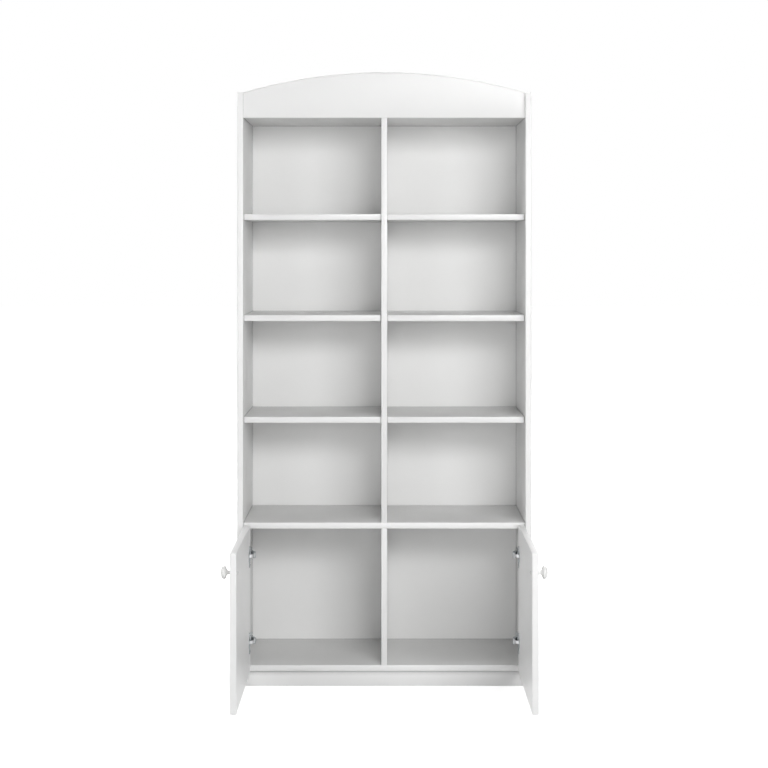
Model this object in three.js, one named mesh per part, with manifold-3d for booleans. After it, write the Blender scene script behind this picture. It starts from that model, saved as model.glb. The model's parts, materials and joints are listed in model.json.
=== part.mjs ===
// A tall white bookcase: two columns of open bays over a cabinet with two inset doors.
// Millimetres, +Z up. The origin is on the floor, under the middle of the carcass.
// Width runs along X, depth along Y with the front at low Y, height along Z.

import * as THREE from 'three';
import { mergeVertices } from 'three/addons/utils/BufferGeometryUtils.js';
import Module from 'manifold-3d';

const wasm = await Module();
wasm.setup();

// Driving dimensions of the carcass
const overallWidth = 900;
const boardThickness = 18;
const sideHeight = 1823;
const sideDepth = 324;
const backThickness = 3;
const backMargin = 2; // the back sheets stop this far inside the outline of the carcass
const backJointGap = 1.5; // between the two back sheets, behind the divider
const fixedRecess = 20; // front edges of the fixed boards, behind the side fronts
const shelfRecess = 12; // front edges of the half shelves, behind the divider
const plinthRecess = 10; // front of the plinth, behind the bottom panel
const plinthHeight = 49;
const cabinetClearHeight = 419;
// How the open bays share their clear height, from the cabinet top upwards
const bayShares = [305, 295, 293, 295.3];
const pedimentEndHeight = 78.7;
const pedimentProud = 2; // the ends of the pediment stand this far above the sides
const archRise = 61;
const edgeRound = 5; // softly rounded front edges of sides, doors and pediment
const roundSteps = 5;

// Doors
const doorThickness = 18;
const doorSideGap = 3;
const doorMeetingGap = 4;
const doorTopReveal = 3.8; // the strip of the cabinet top that shows above the doors
const doorBottomReveal = 3.8; // and of the bottom panel below them
const doorOpenAngle = THREE.MathUtils.degToRad(90); // the pose the bookcase is drawn in
const hingeTopInset = 93.7; // from the door's top to the upper hinge
const hingeBottomInset = 90.7; // from the door's bottom to the lower hinge
const hingeAxisInset = 3; // the turning axis, in from the door's hinge edge
const hingeAxisDepth = 2; // and behind the door's front face

// Clearances
const seatGap = 0.3; // between pieces that rest on or in each other inside a turned door
const runningGap = 0.3; // radial, round a pin or a screw shank
const overrun = 2; // how far a cutting shape passes the face that it opens

// Concealed hinge
const cup = {
  edgeDistance: 22.5, radius: 17.2, wall: 1, depth: 11.5, flangeRadius: 19, flangeThickness: 1,
  wingLength: 65, wingWidth: 13, wingThickness: 2, screwSpacing: 48, screwHoleRadius: 2.1,
  pinRadius: 1.1, pinInset: 11, pinDepth: 2.5,
};
const arm = {
  outerWidth: 18, sheet: 1.2, noseRadius: 3.2, noseInset: 31, noseReach: 10, forkReach: 17.5,
  kneeReach: 25, heelReach: 46, tailReach: 80, cheekFoot: 8, undersideReach: 20, undersideInset: 8,
  slotRadius: 2.6, kneeRound: 4,
};
const plate = {
  baseThickness: 2, baseWidth: 20, baseFront: 40, baseLength: 38, wingLength: 48, wingWidth: 13,
  screwLine: 55, screwSpacing: 32, screwHoleRadius: 2.5, ridgeHeight: 20, ridgeWidth: 10, ridgeInset: 2,
};
const link = {
  length: 21.7, width: 9.4, thickness: 3, bow: 3.5, eyeRadius: 2.5, endRadius: 2.4, sleeveWidth: 14.4,
  closedTurn: -9,
};
const armScrew = { headRadius: 4, headHeight: 2, shankRadius: 2.2, length: 7, reach: 62, socketRadius: 1.6 };

// Knob and its screw
const knob = {
  endInset: 40, topInset: 61, projection: 29, headRadius: 18.5, rimHeight: 19, backHeight: 14.5,
  backRadius: 15.5, neckRadius: 5, neckHeight: 8, footRadius: 7, footRim: 1, boreRadius: 2.3, boreDepth: 14,
};
const knobScrew = {
  headRadius: 4, headHeight: 2.4, shankRadius: 2, length: 28, socketRadius: 1.5, socketDepth: 1.4,
};

// Assembly screws that hold the fixed boards between the sides
const screw = {
  length: 50, threadRadius: 3.2, tipRadius: 1.5, tipLength: 4, collarLength: 12, collarRadius: 3.5,
  headRadius: 5, headHeight: 4, coneHeight: 3, socketRadius: 2.3, socketDepth: 3,
  frontInset: 55, rearInset: 45,
};

// Wall brackets on the top panel
const bracket = { width: 40, height: 40, depth: 32, sheet: 2, holeRadius: 2.6, holeInset: 12, fromSide: 150 };

// What follows from the driving dimensions
const halfWidth = overallWidth / 2;
const innerHalf = halfWidth - boardThickness;
const dividerHalf = boardThickness / 2;
const frontY = -(sideDepth + backThickness) / 2;
const rearY = frontY + sideDepth;
const fixedFrontY = frontY + fixedRecess;
const shelfFrontY = fixedFrontY + shelfRecess;
const bottomTopZ = plinthHeight + boardThickness;
const cabinetTopZ = bottomTopZ + cabinetClearHeight + boardThickness;
const doorBottomZ = plinthHeight + doorBottomReveal;
const doorTopZ = cabinetTopZ - doorTopReveal;
const doorHeight = doorTopZ - doorBottomZ;
const doorWidth = innerHalf - doorSideGap - doorMeetingGap / 2;
const doorFrontV = -hingeAxisDepth;
const doorBackV = doorThickness - hingeAxisDepth;
const axisX = innerHalf - doorSideGap - hingeAxisInset;
const axisY = frontY + hingeAxisDepth;
const sideFaceU = axisX - innerHalf;
const hingeHeights = { upper: doorTopZ - hingeTopInset, lower: doorBottomZ + hingeBottomInset };
const cupCentreU = cup.edgeDistance - hingeAxisInset;
const pinU = cup.pinInset - hingeAxisInset;
const pinV = doorBackV - cup.pinDepth;

// Materials
function finish(color, roughness, metalness) {
  return new THREE.MeshStandardMaterial({ color, roughness, metalness });
}

const whiteBoard = finish(0xf2f2f1, 0.45, 0);
const whiteDoor = finish(0xf5f5f4, 0.38, 0);
const whiteBack = finish(0xecedec, 0.6, 0);
const whiteKnob = finish(0xf4f4f2, 0.3, 0);
const nickel = finish(0xb9bfc4, 0.32, 1);
const zincScrew = finish(0xa9adb0, 0.4, 1);

// Solids: joining and cutting
function solidFrom(geometry) {
  const plain = geometry.clone();
  plain.deleteAttribute('normal');
  plain.deleteAttribute('uv');
  const merged = mergeVertices(plain);
  return new wasm.Manifold(new wasm.Mesh({
    numProp: 3,
    vertProperties: merged.attributes.position.array,
    triVerts: new Uint32Array(merged.index.array),
  }));
}

function geometryFrom(solid) {
  const data = solid.getMesh();
  const geometry = new THREE.BufferGeometry();
  geometry.setAttribute('position', new THREE.BufferAttribute(data.vertProperties, 3));
  geometry.setIndex(new THREE.BufferAttribute(data.triVerts, 1));
  geometry.computeVertexNormals();
  return geometry;
}

function cutAway(geometry, cutters) {
  let solid = solidFrom(geometry);
  for (const cutter of cutters) {
    solid = solid.subtract(solidFrom(cutter));
  }
  return geometryFrom(solid);
}

function joined(geometries) {
  let solid = solidFrom(geometries[0]);
  for (const geometry of geometries.slice(1)) {
    solid = solid.add(solidFrom(geometry));
  }
  return geometryFrom(solid);
}

function trimmed(geometry, keep) {
  return geometryFrom(solidFrom(geometry).intersect(solidFrom(keep)));
}

// A geometry drawn for the left of the bookcase, turned into its twin for the right
function handed(geometry, side) {
  if (side < 0) {
    return geometry;
  }
  const twin = geometryFrom(solidFrom(geometry));
  twin.scale(-1, 1, 1);
  const corners = twin.index.array;
  for (let i = 0; i < corners.length; i += 3) {
    [corners[i], corners[i + 1]] = [corners[i + 1], corners[i]];
  }
  twin.computeVertexNormals();
  return twin;
}

// Basic shapes
function block(low, high) {
  const box = new THREE.BoxGeometry();
  const corners = box.attributes.position;
  for (let i = 0; i < corners.count; i += 1) {
    const place = [corners.getX(i), corners.getY(i), corners.getZ(i)];
    const [x, y, z] = place.map((value, axis) => (value < 0 ? low : high)[axis]);
    corners.setXYZ(i, x, y, z);
  }
  return box;
}

function outline(points) {
  return new THREE.Shape(points.map(([x, y]) => new THREE.Vector2(x, y)));
}

// An outline in plan, pulled up along Z and centred on height zero
function pulledUp(shape, height) {
  const pull = { depth: height, bevelEnabled: false, curveSegments: roundSteps };
  const body = new THREE.ExtrudeGeometry(shape, pull);
  return body.translate(0, 0, -height / 2);
}

// A profile of radius and height turned round the Z axis
function turned(profile, segments) {
  const points = profile.map(([radius, height]) => new THREE.Vector2(radius, height));
  return new THREE.LatheGeometry(points, segments).rotateX(Math.PI / 2);
}

function rod(radius, length, segments) {
  return new THREE.CylinderGeometry(radius, radius, length, segments).rotateX(Math.PI / 2);
}

// An outline in the X-Z plane as a board whose front edges are rounded. Its front face is at Y zero.
function roundedFrontBoard(shape, thickness, keep) {
  const body = new THREE.ExtrudeGeometry(shape, {
    depth: thickness,
    bevelEnabled: true,
    bevelThickness: edgeRound,
    bevelSize: edgeRound,
    bevelOffset: -edgeRound,
    bevelSegments: roundSteps,
    curveSegments: archSteps,
  });
  body.rotateX(Math.PI / 2).translate(0, thickness + edgeRound, 0);
  return trimmed(body, keep);
}
const archSteps = 40;

const bookcase = new THREE.Group();
bookcase.name = 'bookcase_with_cabinet_doors';

function addPiece(parent, name, geometry, material) {
  const mesh = new THREE.Mesh(geometry, material);
  mesh.name = name;
  parent.add(mesh);
  return mesh;
}

const sides = [['left', -1], ['right', 1]];

// Assembly screws. A screw lies along X with its head's flat at X zero and its tip at high X.
function screwProfile(clearance, headRun) {
  const threadStart = screw.length - screw.collarLength - screw.headHeight;
  return [
    [0, -screw.length - clearance],
    [screw.tipRadius + clearance, -screw.length - clearance],
    [screw.threadRadius + clearance, -screw.length + screw.tipLength],
    [screw.threadRadius + clearance, -screw.length + threadStart],
    [screw.collarRadius + clearance, -screw.length + threadStart],
    [screw.collarRadius + clearance, -screw.headHeight],
    [screw.headRadius + clearance, screw.coneHeight - screw.headHeight],
    [screw.headRadius + clearance, headRun],
    [0, headRun],
  ];
}

const screwSegments = 12;

function screwAlongX(clearance, headRun) {
  return turned(screwProfile(clearance, headRun), screwSegments).rotateY(-Math.PI / 2);
}

function assemblyScrew() {
  const socket = rod(screw.socketRadius, screw.socketDepth + overrun, 6).rotateY(Math.PI / 2);
  socket.translate((screw.socketDepth - overrun) / 2, 0, 0);
  return cutAway(screwAlongX(0, 0), [socket]);
}

const screwDepths = { front: frontY + screw.frontInset, rear: rearY - screw.rearInset };
const fixedBoardHeights = {
  bottom: plinthHeight + boardThickness / 2,
  cabinet_top: cabinetTopZ - boardThickness / 2,
  top: sideHeight + pedimentProud - pedimentEndHeight + boardThickness / 2,
};

// The holes that the assembly screws of one side run through, for the side and the board ends alike
function screwHoles(height, side) {
  return Object.values(screwDepths).map((depth) => {
    const hole = handed(screwAlongX(runningGap, overrun), side);
    return hole.translate(side * halfWidth, depth, height);
  });
}

function sidePanel(side) {
  const plan = new THREE.Shape();
  plan.moveTo(-innerHalf, frontY);
  plan.lineTo(-innerHalf, rearY);
  plan.lineTo(-halfWidth, rearY);
  plan.lineTo(-halfWidth, frontY + edgeRound);
  plan.absarc(-halfWidth + edgeRound, frontY + edgeRound, edgeRound, Math.PI, Math.PI * 1.5, false);
  plan.closePath();
  const body = handed(pulledUp(plan, sideHeight).translate(0, 0, sideHeight / 2), side);
  return cutAway(body, Object.values(fixedBoardHeights).flatMap((height) => screwHoles(height, side)));
}

// A fixed board between the sides, by the height of its middle
function fixedBoard(height) {
  const half = boardThickness / 2;
  const body = block([-innerHalf, fixedFrontY, height - half], [innerHalf, rearY, height + half]);
  return cutAway(body, sides.flatMap(([, side]) => screwHoles(height, side)));
}

function topPanel() {
  const height = fixedBoardHeights.top;
  const half = boardThickness / 2;
  const behindPediment = fixedFrontY + boardThickness;
  const body = block([-innerHalf, behindPediment, height - half], [innerHalf, rearY, height + half]);
  return cutAway(body, sides.flatMap(([, side]) => screwHoles(height, side)));
}

// The board over the top bays. Its upper edge is an arc through both ends and the crown.
function pediment() {
  const bottomZ = fixedBoardHeights.top - boardThickness / 2;
  const arcRadius = (innerHalf * innerHalf + archRise * archRise) / (2 * archRise);
  const crownZ = bottomZ + pedimentEndHeight + archRise;
  const arcHalfAngle = Math.asin((innerHalf + edgeRound) / arcRadius);
  const shape = new THREE.Shape();
  shape.moveTo(-innerHalf - edgeRound, bottomZ - edgeRound * 2);
  shape.lineTo(innerHalf + edgeRound, bottomZ - edgeRound * 2);
  const [arcStart, arcEnd] = [Math.PI / 2 - arcHalfAngle, Math.PI / 2 + arcHalfAngle];
  shape.absarc(0, crownZ - arcRadius, arcRadius, arcStart, arcEnd, false);
  shape.closePath();
  const keep = block([-innerHalf, 0, bottomZ], [innerHalf, boardThickness, crownZ + overrun]);
  return roundedFrontBoard(shape, boardThickness, keep).translate(0, fixedFrontY, 0);
}

function divider(lowZ, highZ) {
  return block([-dividerHalf, fixedFrontY, lowZ], [dividerHalf, rearY, highZ]);
}

function halfShelf(side, lowZ) {
  const shelf = block([-innerHalf, shelfFrontY, lowZ], [-dividerHalf, rearY, lowZ + boardThickness]);
  return handed(shelf, side);
}

function backSheet(side) {
  const topZ = fixedBoardHeights.top + boardThickness / 2 - backMargin;
  const lowZ = plinthHeight + backMargin;
  const lowCorner = [-halfWidth + backMargin, rearY, lowZ];
  const sheet = block(lowCorner, [-backJointGap / 2, rearY + backThickness, topZ]);
  return handed(sheet, side);
}

function buildCarcass() {
  const plinthFrontY = fixedFrontY + plinthRecess;
  const plinthRearY = plinthFrontY + boardThickness;
  const topUnderZ = fixedBoardHeights.top - boardThickness / 2;
  for (const [word, side] of sides) {
    addPiece(bookcase, `side_panel_${word}`, sidePanel(side), whiteBoard);
    addPiece(bookcase, `back_panel_${word}`, backSheet(side), whiteBack);
  }
  addPiece(bookcase, 'top_panel', topPanel(), whiteBoard);
  addPiece(bookcase, 'pediment', pediment(), whiteBoard);
  addPiece(bookcase, 'cabinet_top', fixedBoard(fixedBoardHeights.cabinet_top), whiteBoard);
  addPiece(bookcase, 'bottom_panel', fixedBoard(fixedBoardHeights.bottom), whiteBoard);
  addPiece(bookcase, 'upper_divider', divider(cabinetTopZ, topUnderZ), whiteBoard);
  addPiece(bookcase, 'lower_divider', divider(bottomTopZ, cabinetTopZ - boardThickness), whiteBoard);
  const plinth = block([-innerHalf, plinthFrontY, 0], [innerHalf, plinthRearY, plinthHeight]);
  addPiece(bookcase, 'plinth', plinth, whiteBoard);
  const support = block([-dividerHalf, plinthRearY, 0], [dividerHalf, rearY, plinthHeight]);
  addPiece(bookcase, 'plinth_support', support, whiteBoard);

  const shelfCount = bayShares.length - 1;
  const shareTotal = bayShares.reduce((sum, share) => sum + share, 0);
  const openClearHeight = topUnderZ - cabinetTopZ - shelfCount * boardThickness;
  let shelfZ = cabinetTopZ;
  bayShares.slice(0, shelfCount).forEach((share, row) => {
    shelfZ += (openClearHeight * share) / shareTotal;
    for (const [word, side] of sides) {
      addPiece(bookcase, `shelf_${word}_${row + 1}`, halfShelf(side, shelfZ), whiteBoard);
    }
    shelfZ += boardThickness;
  });
}

function buildAssemblyScrews() {
  for (const [word, side] of sides) {
    for (const [board, height] of Object.entries(fixedBoardHeights)) {
      for (const [end, depth] of Object.entries(screwDepths)) {
        const name = `${board}_screw_${word}_${end}`;
        const mesh = addPiece(bookcase, name, handed(assemblyScrew(), side), zincScrew);
        mesh.position.set(side * halfWidth, depth, height);
      }
    }
  }
}

function wallBracket() {
  const uprightY = bracket.depth - bracket.sheet;
  const upright = block([0, uprightY, 0], [bracket.width, bracket.depth, bracket.height]);
  const foot = block([0, 0, 0], [bracket.width, bracket.depth, bracket.sheet]);
  const run = bracket.sheet + overrun * 2;
  const wallHole = rod(bracket.holeRadius, run, screwSegments).rotateX(Math.PI / 2);
  wallHole.translate(bracket.width / 2, bracket.depth, bracket.height - bracket.holeInset);
  const footHole = rod(bracket.holeRadius, run, screwSegments);
  footHole.translate(bracket.width / 2, bracket.holeInset, 0);
  return cutAway(joined([upright, foot]), [wallHole, footHole]);
}

function buildWallBrackets() {
  for (const [word, side] of sides) {
    const mesh = addPiece(bookcase, `wall_bracket_${word}`, handed(wallBracket(), side), nickel);
    const outerX = innerHalf - bracket.fromSide;
    const footZ = fixedBoardHeights.top + boardThickness / 2;
    mesh.position.set(side * outerX, rearY + backThickness - bracket.depth, footZ);
  }
}

// Hinge pieces are drawn for a closed left door, from its turning axis:
// X into the cabinet's width, Y towards the back, Z up with zero at the hinge's middle.
const hingeSegments = 32;

function hingeCup() {
  const inner = cup.radius - cup.wall;
  const rimLow = seatGap;
  const rimHigh = seatGap + cup.flangeThickness;
  const bowl = turned([
    [0, -cup.depth],
    [cup.radius, -cup.depth],
    [cup.radius, rimLow],
    [cup.flangeRadius, rimLow],
    [cup.flangeRadius, rimHigh],
    [inner, rimHigh],
    [inner, cup.wall - cup.depth],
    [0, cup.wall - cup.depth],
  ], hingeSegments).rotateX(-Math.PI / 2);
  const halfLong = cup.wingLength / 2;
  const halfWide = cup.wingWidth / 2;
  const wingShape = new THREE.Shape();
  wingShape.absarc(0, halfLong - halfWide, halfWide, 0, Math.PI, false);
  wingShape.absarc(0, halfWide - halfLong, halfWide, Math.PI, Math.PI * 2, false);
  wingShape.closePath();
  const wings = pulledUp(wingShape, cup.wingThickness).rotateX(Math.PI / 2);
  wings.translate(0, rimLow + cup.wingThickness / 2, 0);
  const mouth = rod(inner, cup.wingThickness + overrun * 2, hingeSegments).rotateX(-Math.PI / 2);
  const holes = [-1, 1].map((end) => {
    const run = cup.wingThickness + overrun * 2;
    const hole = rod(cup.screwHoleRadius, run, screwSegments).rotateX(-Math.PI / 2);
    return hole.translate(0, rimLow, end * cup.screwSpacing / 2);
  });
  const wingRing = cutAway(wings, [mouth.translate(0, rimLow, 0), ...holes]);
  const longPin = rod(cup.pinRadius, cup.radius * 2, screwSegments);
  const middleOfWall = rod(cup.radius - cup.wall / 2, cup.depth, hingeSegments).rotateX(-Math.PI / 2);
  const pin = trimmed(longPin.translate(pinU - cupCentreU, -cup.pinDepth, 0), middleOfWall);
  return joined([bowl, wingRing, pin]).translate(cupCentreU, doorBackV, 0);
}

// The link turns on the cup's pin. X runs from the pin to its sleeve, which fills the arm's fork.
function hingeLink() {
  const bowRadius = (link.length * link.length / 4 + link.bow * link.bow) / (2 * link.bow);
  const centreY = bowRadius - link.bow;
  const halfAngle = Math.asin(link.length / 2 / bowRadius);
  const low = -Math.PI / 2 - halfAngle;
  const high = -Math.PI / 2 + halfAngle;
  const band = new THREE.Shape();
  band.absarc(link.length / 2, centreY, bowRadius + link.thickness / 2, low, high, false);
  band.absarc(link.length / 2, centreY, bowRadius - link.thickness / 2, high, low, true);
  band.closePath();
  const eye = rod(link.eyeRadius, link.width, screwSegments);
  const end = rod(link.endRadius, link.sleeveWidth, screwSegments).translate(link.length, 0, 0);
  const hole = rod(cup.pinRadius + runningGap, link.width + overrun, screwSegments);
  return cutAway(joined([pulledUp(band, link.width), eye, end]), [hole]);
}

const armInnerU = sideFaceU + plate.baseThickness + plate.ridgeHeight;
const armOuterU = armInnerU + arm.sheet;
const armFootU = sideFaceU + plate.baseThickness + arm.cheekFoot;
const noseU = arm.noseInset - hingeAxisInset;
const noseOuterU = noseU + arm.noseRadius;
const noseInnerU = noseU - arm.noseRadius;

// Folded channel: two cheeks and a web, cranked out from the side panel to the fork at its nose
function hingeArm() {
  const shape = new THREE.Shape();
  shape.moveTo(noseOuterU, arm.noseReach);
  shape.lineTo(noseOuterU, arm.kneeReach - arm.kneeRound);
  const kneeEnd = [noseOuterU - arm.kneeRound, arm.kneeReach + arm.kneeRound / 2];
  shape.quadraticCurveTo(noseOuterU, arm.kneeReach, ...kneeEnd);
  shape.lineTo(armOuterU, arm.heelReach);
  shape.lineTo(armOuterU, arm.tailReach);
  shape.lineTo(armFootU, arm.tailReach);
  shape.lineTo(armFootU, arm.heelReach);
  shape.lineTo(noseInnerU - arm.undersideInset / 2, arm.undersideReach);
  shape.lineTo(noseInnerU, arm.forkReach);
  shape.lineTo(noseInnerU, arm.noseReach);
  shape.absarc(noseU, arm.noseReach, arm.noseRadius, Math.PI, Math.PI * 2, false);
  shape.closePath();
  const hollow = outline([
    [noseOuterU + overrun, 0],
    [noseOuterU + overrun, arm.forkReach],
    [noseOuterU - arm.sheet, arm.forkReach],
    [noseOuterU - arm.sheet, arm.kneeReach - arm.kneeRound],
    [kneeEnd[0] - arm.sheet, kneeEnd[1] - arm.sheet / 2],
    [armInnerU, arm.heelReach - arm.sheet / 2],
    [armInnerU, arm.tailReach + overrun],
    [armFootU - overrun, arm.tailReach + overrun],
    [armFootU - overrun, 0],
  ]);
  const inside = pulledUp(hollow, arm.outerWidth - arm.sheet * 2);
  const slot = rod(arm.slotRadius, arm.sheet + overrun * 2, screwSegments).rotateY(Math.PI / 2);
  return cutAway(pulledUp(shape, arm.outerWidth), [inside, slot.translate(armInnerU, armScrew.reach, 0)]);
}

function mountingPlate() {
  const baseU = sideFaceU + plate.baseThickness;
  const halfBase = plate.baseWidth / 2;
  const baseEnd = plate.baseFront + plate.baseLength;
  const base = block([sideFaceU, plate.baseFront, -halfBase], [baseU, baseEnd, halfBase]);
  const halfWing = plate.wingLength / 2;
  const wingHalfWide = plate.wingWidth / 2;
  const wings = block(
    [sideFaceU, plate.screwLine - wingHalfWide, -halfWing],
    [baseU, plate.screwLine + wingHalfWide, halfWing],
  );
  const halfRidge = plate.ridgeWidth / 2;
  const ridge = block(
    [sideFaceU, plate.baseFront + plate.ridgeInset, -halfRidge],
    [armInnerU, baseEnd - plate.ridgeInset, halfRidge],
  );
  const screwHoles = [-1, 1].map((end) => {
    const run = plate.baseThickness + overrun * 2;
    const hole = rod(plate.screwHoleRadius, run, screwSegments).rotateY(Math.PI / 2);
    return hole.translate(sideFaceU, plate.screwLine, end * plate.screwSpacing / 2);
  });
  const boreRadius = armScrew.shankRadius + runningGap;
  const bore = rod(boreRadius, plate.ridgeHeight * 2, screwSegments).rotateY(Math.PI / 2);
  bore.translate(armInnerU, armScrew.reach, 0);
  return cutAway(joined([base, wings, ridge]), [...screwHoles, bore]);
}

// Screws with a round head and a hexagon socket, along Z with the head's seat at height zero
function panScrew(sizes, socketDepth) {
  const body = turned([
    [0, -sizes.length],
    [sizes.shankRadius, -sizes.length],
    [sizes.shankRadius, 0],
    [sizes.headRadius, 0],
    [sizes.headRadius, sizes.headHeight / 2],
    [sizes.headRadius - sizes.headHeight / 2, sizes.headHeight],
    [0, sizes.headHeight],
  ], screwSegments);
  const socket = rod(sizes.socketRadius, socketDepth * 2, 6).translate(0, 0, sizes.headHeight);
  return cutAway(body, [socket]);
}

function hingeArmScrew() {
  const body = panScrew(armScrew, armScrew.headHeight / 2).rotateY(Math.PI / 2);
  return body.translate(armOuterU, armScrew.reach, 0);
}

// Door leaf, closed, from its turning axis, with Z measured from the floor
const doorLowU = -hingeAxisInset;
const doorHighU = doorWidth - hingeAxisInset;
const knobU = doorHighU - knob.endInset;
const knobZ = doorTopZ - knob.topInset;

function doorLeaf() {
  const shape = outline([
    [doorLowU, doorBottomZ],
    [doorHighU, doorBottomZ],
    [doorHighU, doorTopZ],
    [doorLowU, doorTopZ],
  ]);
  const keep = block(
    [doorLowU - overrun, -overrun, doorBottomZ - overrun],
    [doorHighU + overrun, doorThickness, doorTopZ + overrun],
  );
  const leaf = roundedFrontBoard(shape, doorThickness, keep).translate(0, doorFrontV, 0);
  const cups = Object.values(hingeHeights).map((height) => {
    const boreRadius = cup.radius + seatGap;
    const boreDepth = cup.depth + seatGap + overrun;
    const bore = rod(boreRadius, boreDepth, hingeSegments).rotateX(Math.PI / 2);
    return bore.translate(cupCentreU, doorBackV + overrun - boreDepth / 2, height);
  });
  const [holeRadius, run] = [knobScrew.shankRadius + runningGap, doorThickness + overrun * 2];
  const hole = rod(holeRadius, run, screwSegments).rotateX(Math.PI / 2);
  hole.translate(knobU, (doorFrontV + doorBackV) / 2, knobZ);
  return cutAway(leaf, [...cups, hole]);
}

// Mushroom knob, turned, along Z with its foot at height zero
const knobSegments = 32;

function knobBody() {
  const neckToBack = new THREE.QuadraticBezierCurve(
    new THREE.Vector2(knob.neckRadius, knob.neckHeight),
    new THREE.Vector2(knob.neckRadius + knob.footRim, knob.backHeight - knob.footRim),
    new THREE.Vector2(knob.backRadius, knob.backHeight),
  );
  const footToNeck = new THREE.QuadraticBezierCurve(
    new THREE.Vector2(knob.footRadius, seatGap + knob.footRim),
    new THREE.Vector2(knob.neckRadius, knob.neckHeight / 2),
    new THREE.Vector2(knob.neckRadius, knob.neckHeight),
  );
  const rim = new THREE.QuadraticBezierCurve(
    new THREE.Vector2(knob.backRadius, knob.backHeight),
    new THREE.Vector2(knob.headRadius, knob.backHeight),
    new THREE.Vector2(knob.headRadius, knob.rimHeight),
  );
  const dome = new THREE.EllipseCurve(
    0, knob.rimHeight, knob.headRadius, knob.projection - knob.rimHeight, 0, Math.PI / 2, false, 0,
  );
  const curves = [footToNeck, neckToBack, rim, dome];
  const curved = curves.flatMap((curve, i) => curve.getPoints(roundSteps).slice(i ? 1 : 0));
  const profile = [
    [0, knob.boreDepth],
    [knob.boreRadius, knob.boreDepth],
    [knob.boreRadius, seatGap],
    [knob.footRadius, seatGap],
    ...curved.slice(0, -1).map((point) => [point.x, point.y]),
    [0, knob.projection],
  ];
  return turned(profile, knobSegments);
}

function knobPiece() {
  return knobBody().rotateX(Math.PI / 2).translate(knobU, doorFrontV, knobZ);
}

function knobScrewPiece() {
  const body = panScrew(knobScrew, knobScrew.socketDepth).rotateX(-Math.PI / 2);
  return body.translate(knobU, doorBackV + seatGap, knobZ);
}

function buildDoorSide(word, side) {
  const closed = new THREE.Group(); // what stays on the carcass
  closed.position.set(side * axisX, axisY, 0);
  bookcase.add(closed);
  const door = new THREE.Group(); // what swings, drawn closed and turned open
  door.position.copy(closed.position);
  door.rotation.z = side * doorOpenAngle;
  bookcase.add(door);

  addPiece(door, `door_${word}`, handed(doorLeaf(), side), whiteDoor);
  addPiece(door, `knob_${word}`, handed(knobPiece(), side), whiteKnob);
  addPiece(door, `knob_screw_${word}`, handed(knobScrewPiece(), side), zincScrew);

  const linkTurnClosed = THREE.MathUtils.degToRad(link.closedTurn);
  const linkTurnOpen = linkTurnClosed + linkTravel;
  for (const [level, height] of Object.entries(hingeHeights)) {
    const name = `${word}_${level}_hinge`;
    addPiece(door, `${name}_cup`, handed(hingeCup(), side), nickel).position.z = height;
    const linkMesh = addPiece(door, `${name}_link`, handed(hingeLink(), side), nickel);
    linkMesh.position.set(-side * pinU, pinV, height);
    linkMesh.rotation.z = -side * linkTurnOpen;
    addPiece(closed, `${name}_arm`, handed(hingeArm(), side), nickel).position.z = height;
    addPiece(closed, `${name}_plate`, handed(mountingPlate(), side), nickel).position.z = height;
    addPiece(closed, `${name}_arm_screw`, handed(hingeArmScrew(), side), zincScrew).position.z = height;
  }
}
const linkTravel = THREE.MathUtils.degToRad(146.5); // how far a link turns in its cup while the door opens

buildCarcass();
buildAssemblyScrews();
buildWallBrackets();
for (const [word, side] of sides) {
  buildDoorSide(word, side);
}

export default bookcase;
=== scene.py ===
import json
import math

import bmesh
import bpy
from mathutils import Matrix, Vector


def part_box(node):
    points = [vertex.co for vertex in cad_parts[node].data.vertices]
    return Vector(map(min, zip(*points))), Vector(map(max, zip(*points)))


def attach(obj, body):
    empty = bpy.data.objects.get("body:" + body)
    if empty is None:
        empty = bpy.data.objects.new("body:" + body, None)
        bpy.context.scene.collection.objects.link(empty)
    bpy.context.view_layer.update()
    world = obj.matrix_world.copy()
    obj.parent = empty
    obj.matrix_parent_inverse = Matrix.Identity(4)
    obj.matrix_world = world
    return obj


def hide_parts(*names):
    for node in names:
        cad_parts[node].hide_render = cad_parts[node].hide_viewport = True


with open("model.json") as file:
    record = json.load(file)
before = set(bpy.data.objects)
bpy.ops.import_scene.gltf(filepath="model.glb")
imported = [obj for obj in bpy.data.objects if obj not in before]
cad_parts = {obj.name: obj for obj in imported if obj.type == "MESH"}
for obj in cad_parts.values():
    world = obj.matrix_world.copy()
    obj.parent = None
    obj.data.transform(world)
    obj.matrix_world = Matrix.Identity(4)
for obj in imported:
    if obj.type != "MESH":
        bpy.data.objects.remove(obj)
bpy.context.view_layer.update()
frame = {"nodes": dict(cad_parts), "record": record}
print("frame loaded")

sides = (("left", -1), ("right", 1))
mirrorX = Matrix.Diagonal((-1, 1, 1, 1))
smoothLimit = math.radians(32)
welded = 1e-6  # closer than this is one point
touching = 1e-5  # closer than this lies on the face
nearlyAll = 0.98  # share of a half width that rounds an end fully without closing it


# camera, lights and floor
view = {
    "lens": 69.375,
    "sensor": 36,
    "place": (0, -4.6835, 1.342),
    "shift": (-0.00035, -0.1751),
}


def makeCamera():
    camera = bpy.data.objects.new("camera", bpy.data.cameras.new("camera"))
    bpy.context.collection.objects.link(camera)
    camera.data.lens = view["lens"]
    camera.data.sensor_width = view["sensor"]
    camera.data.shift_x, camera.data.shift_y = view["shift"]
    camera.location = view["place"]
    camera.rotation_euler = (math.radians(90), 0, 0)
    bpy.context.scene.camera = camera


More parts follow.
